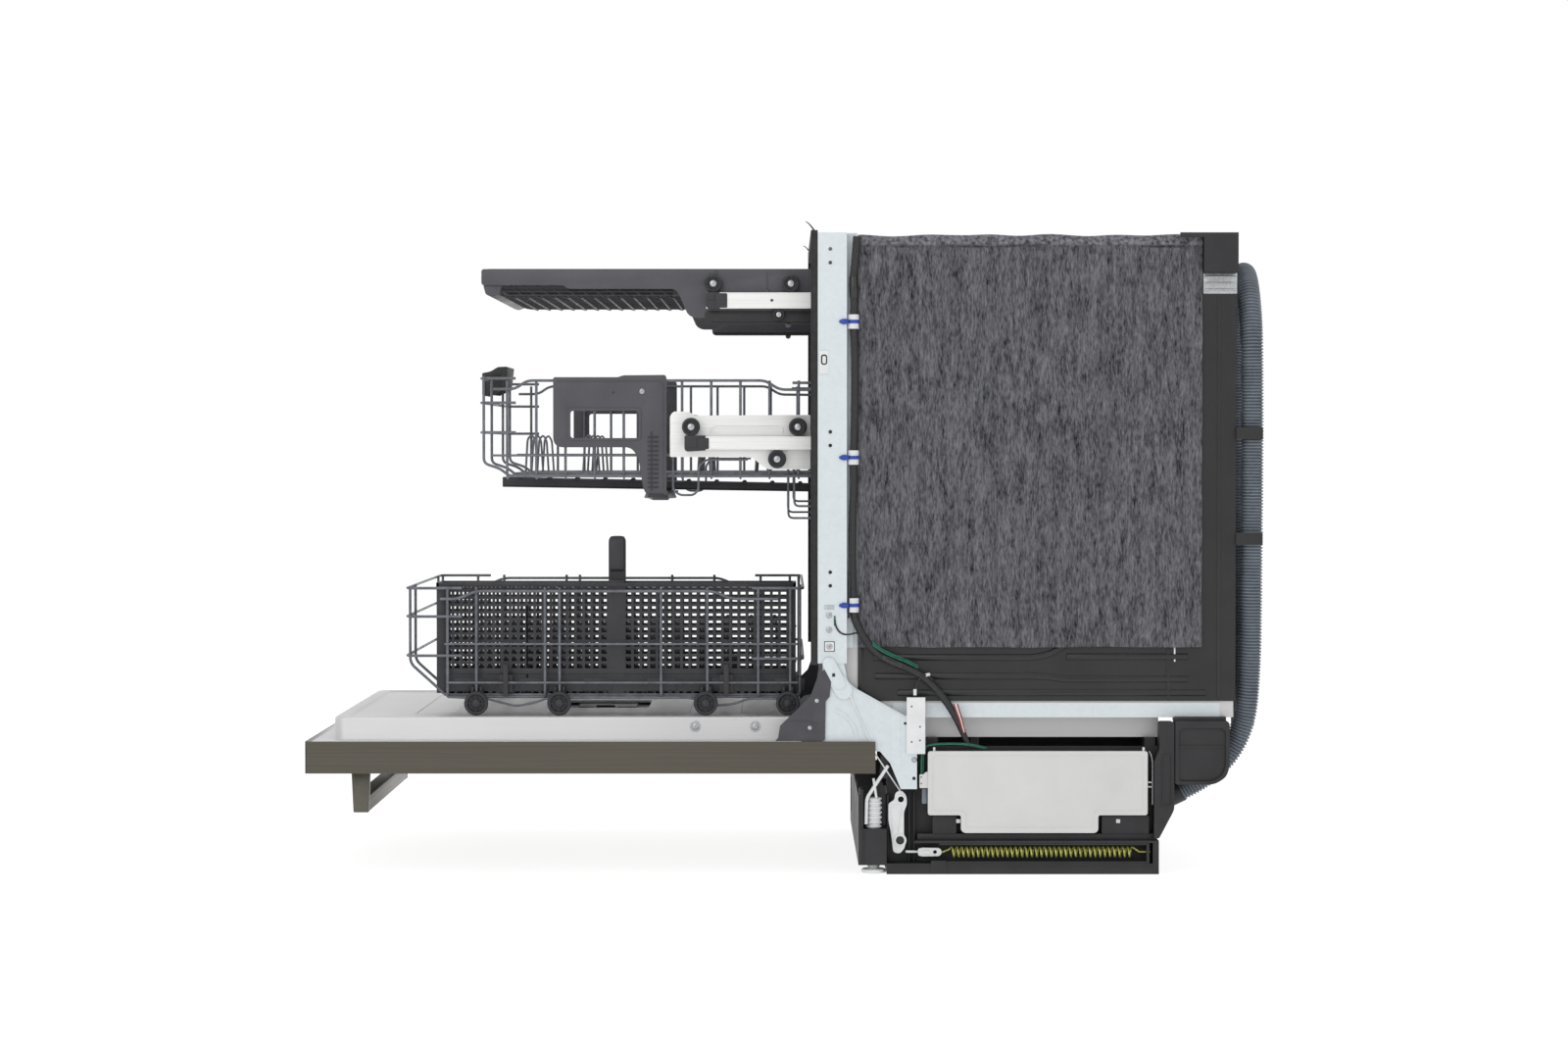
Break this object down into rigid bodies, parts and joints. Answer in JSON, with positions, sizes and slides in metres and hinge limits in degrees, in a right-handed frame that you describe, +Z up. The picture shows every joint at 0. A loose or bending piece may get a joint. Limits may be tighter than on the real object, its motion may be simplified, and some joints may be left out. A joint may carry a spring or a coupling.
{
  "type": "built in dishwasher",
  "caption": "Built-in dishwasher with its door open flat and all racks drawn out, shown without side panels: steel tub under a felt blanket on a black plastic base.",
  "frame": {"origin": "on the floor, middle of the width and of the full depth with the door open and the racks out", "axes": "+Z up; the door faces -Y and the tub's back +Y; +X is on the right of someone who looks into the tub along +Y"},
  "size_m": [0.603, 1.2702, 0.854],
  "materials": {
    "base_plastic": "matte",
    "foot_nylon": "satin",
    "tub_steel": "satin",
    "galvanised": "matte",
    "seal_rubber": "matte",
    "felt": "matte",
    "mastic": "matte",
    "corner_plastic": "matte",
    "white_plastic": "satin",
    "cover_plastic": "satin",
    "works_plastic": "satin",
    "filter_mesh": "satin",
    "hose_plastic": "satin",
    "cord_black": "satin",
    "spring_steel": "satin",
    "door_finish": "satin",
    "handle_finish": "satin",
    "strip_black": "gloss",
    "arm_steel": "satin",
    "grey_plastic": "satin",
    "bearing_steel": "satin",
    "rack_coating": "satin",
    "rail_steel": "satin"
  },
  "bodies": {
    "root": {"base_frame": "base_plastic", "rear_housing": "base_plastic", "inlet_valve": "base_plastic", "drain_pump": "base_plastic", "levelling_feet": "foot_nylon", "tub": "tub_steel", "tub_frame": "galvanised", "frame_screws": "galvanised", "door_gasket": "seal_rubber", "felt_blanket": "felt", "sound_mat": "mastic", "rear_corner_brackets": "corner_plastic", "hinge_brackets": "galvanised", "harness_guide": "white_plastic", "harness_clips": "white_plastic", "rail_guides": "white_plastic", "hose_clips": "base_plastic", "control_cover": "cover_plastic", "control_housing": "works_plastic", "sump": "works_plastic", "circulation_pump": "works_plastic", "feed_tube": "grey_plastic", "drain_hose": "hose_plastic", "wire_harness": "cord_black", "door_springs": "spring_steel"},
    "door": {"door_skin": "door_finish", "door_liner": "tub_steel", "door_handle": "handle_finish", "control_strip": "strip_black", "door_latch": "strip_black", "hinge_arms": "arm_steel", "dispenser_body": "white_plastic", "liner_screws": "galvanised"},
    "dispenser_lid": {"dispenser_lid": "grey_plastic"},
    "rinse_cap": {"rinse_cap": "grey_plastic"},
    "levers": {"door_levers": "white_plastic"},
    "spring_rods": {"spring_rods": "galvanised"},
    "lower_rack": {"lower_rack": "rack_coating", "cutlery_basket": "grey_plastic"},
    "lower_wheels_a": {"lower_wheels_a": "grey_plastic"},
    "lower_wheels_b": {"lower_wheels_b": "grey_plastic"},
    "lower_wheels_c": {"lower_wheels_c": "grey_plastic"},
    "lower_wheels_d": {"lower_wheels_d": "grey_plastic"},
    "middle_rails": {"middle_rails": "rail_steel"},
    "middle_carriage": {"rack_brackets": "galvanised"},
    "middle_rollers_a": {"middle_rollers_a": "grey_plastic"},
    "middle_rollers_b": {"middle_rollers_b": "grey_plastic"},
    "middle_rollers_c": {"middle_rollers_c": "grey_plastic"},
    "middle_rack": {"middle_rack": "rack_coating", "rack_adjusters": "grey_plastic", "middle_feed_bar": "grey_plastic"},
    "middle_spray_arm": {"middle_spray_arm": "grey_plastic"},
    "third_rails": {"third_rails": "rail_steel"},
    "third_rack": {"third_rack_frame": "grey_plastic", "third_rack_basket": "rack_coating"},
    "third_rollers_a": {"third_rollers_a": "grey_plastic"},
    "third_rollers_b": {"third_rollers_b": "grey_plastic"},
    "third_rollers_c": {"third_rollers_c": "bearing_steel"},
    "lower_spray_arm": {"lower_spray_arm": "grey_plastic"},
    "tub_filter": {"tub_filter": "filter_mesh"}
  },
  "joints": [
    {"name": "door_hinge", "type": "hinge", "parent": "root", "child": "door", "pos_m": [0, 0.034, 0.182], "axis": [-1, 0, 0], "range_deg": [0, 10]},
    {"name": "dispenser_lid_slide", "type": "slide", "parent": "door", "child": "dispenser_lid", "axis": [-1, 0, 0], "range_m": [0, 0.06]},
    {"name": "rinse_cap_turn", "type": "hinge", "parent": "door", "child": "rinse_cap", "pos_m": [0.045, -0.25, 0.2], "axis": [0, 0, 1], "range_deg": [0, 90]},
    {"name": "lever_turn", "type": "hinge", "parent": "root", "child": "levers", "pos_m": [0, 0.153, 0.044], "axis": [1, 0, 0], "range_deg": [0, 5.01]},
    {"name": "spring_pull", "type": "slide", "parent": "root", "child": "spring_rods", "axis": [0, 1, 0], "range_m": [0, 0.0014], "deforming": ["door_springs"]},
    {"name": "lower_rack_slide", "type": "slide", "parent": "door", "child": "lower_rack", "axis": [0, -1, 0], "range_m": [-0.55, 0]},
    {"name": "middle_rack_slide", "type": "slide", "parent": "root", "child": "middle_carriage", "axis": [0, -1, 0], "range_m": [-0.47, 0]},
    {"name": "middle_rail_slide", "type": "slide", "parent": "root", "child": "middle_rails", "axis": [0, -1, 0], "range_m": [-0.188, 0]},
    {"name": "middle_rack_lift", "type": "slide", "parent": "middle_carriage", "child": "middle_rack", "axis": [0, 0, 1], "range_m": [-0.05, 0]},
    {"name": "middle_spray_turn", "type": "hinge", "parent": "middle_rack", "child": "middle_spray_arm", "pos_m": [0, -0.175, 0.505], "axis": [0, 0, 1], "continuous": true},
    {"name": "third_rack_slide", "type": "slide", "parent": "root", "child": "third_rack", "axis": [0, -1, 0], "range_m": [-0.47, 0]},
    {"name": "third_rail_slide", "type": "slide", "parent": "root", "child": "third_rails", "axis": [0, -1, 0], "range_m": [-0.188, 0]},
    {"name": "lower_spray_turn", "type": "hinge", "parent": "root", "child": "lower_spray_arm", "pos_m": [0, 0.33, 0.218], "axis": [0, 0, 1], "continuous": true},
    {"name": "filter_turn", "type": "hinge", "parent": "root", "child": "tub_filter", "pos_m": [0.095, 0.42, 0.178], "axis": [0, 0, 1], "range_deg": [0, 90]},
    {"name": "lower_wheels_a_turn", "type": "hinge", "parent": "lower_rack", "child": "lower_wheels_a", "pos_m": [0, -0.413, 0.2243], "axis": [1, 0, 0], "continuous": true},
    {"name": "lower_wheels_b_turn", "type": "hinge", "parent": "lower_rack", "child": "lower_wheels_b", "pos_m": [0, -0.302, 0.2243], "axis": [1, 0, 0], "continuous": true},
    {"name": "lower_wheels_c_turn", "type": "hinge", "parent": "lower_rack", "child": "lower_wheels_c", "pos_m": [0, -0.106, 0.2243], "axis": [1, 0, 0], "continuous": true},
    {"name": "lower_wheels_d_turn", "type": "hinge", "parent": "lower_rack", "child": "lower_wheels_d", "pos_m": [0, 0.004, 0.2243], "axis": [1, 0, 0], "continuous": true},
    {"name": "middle_rollers_a_turn", "type": "hinge", "parent": "middle_carriage", "child": "middle_rollers_a", "pos_m": [0, -0.1255, 0.5938], "axis": [1, 0, 0], "continuous": true},
    {"name": "middle_rollers_b_turn", "type": "hinge", "parent": "middle_carriage", "child": "middle_rollers_b", "pos_m": [0, 0.0173, 0.5938], "axis": [1, 0, 0], "continuous": true},
    {"name": "middle_rollers_c_turn", "type": "hinge", "parent": "middle_carriage", "child": "middle_rollers_c", "pos_m": [0, -0.0105, 0.5507], "axis": [1, 0, 0], "continuous": true},
    {"name": "third_rollers_a_turn", "type": "hinge", "parent": "third_rack", "child": "third_rollers_a", "pos_m": [0, -0.0958, 0.785], "axis": [1, 0, 0], "continuous": true},
    {"name": "third_rollers_b_turn", "type": "hinge", "parent": "third_rack", "child": "third_rollers_b", "pos_m": [0, 0.0079, 0.785], "axis": [1, 0, 0], "continuous": true},
    {"name": "third_rollers_c_turn", "type": "hinge", "parent": "third_rack", "child": "third_rollers_c", "pos_m": [0, -0.0084, 0.7435], "axis": [1, 0, 0], "continuous": true}
  ],
  "couplings": [
    {"joint": "lever_turn", "follows": "door_hinge", "ratio": 0.5},
    {"joint": "spring_pull", "follows": "door_hinge", "m_per_rad": 0.0077},
    {"joint": "middle_rail_slide", "follows": "middle_rack_slide", "ratio": 0.4},
    {"joint": "third_rail_slide", "follows": "third_rack_slide", "ratio": 0.4},
    {"joint": "lower_wheels_a_turn", "follows": "lower_rack_slide", "rad_per_m": 62.5},
    {"joint": "lower_wheels_b_turn", "follows": "lower_rack_slide", "rad_per_m": 62.5},
    {"joint": "lower_wheels_c_turn", "follows": "lower_rack_slide", "rad_per_m": 62.5},
    {"joint": "lower_wheels_d_turn", "follows": "lower_rack_slide", "rad_per_m": 62.5},
    {"joint": "middle_rollers_a_turn", "follows": "middle_rack_slide", "rad_per_m": 48.781},
    {"joint": "middle_rollers_b_turn", "follows": "middle_rack_slide", "rad_per_m": 48.781},
    {"joint": "middle_rollers_c_turn", "follows": "middle_rack_slide", "rad_per_m": -48.781},
    {"joint": "third_rollers_a_turn", "follows": "third_rack_slide", "rad_per_m": 51.282},
    {"joint": "third_rollers_b_turn", "follows": "third_rack_slide", "rad_per_m": 51.282},
    {"joint": "third_rollers_c_turn", "follows": "third_rack_slide", "rad_per_m": -76.923}
  ]
}
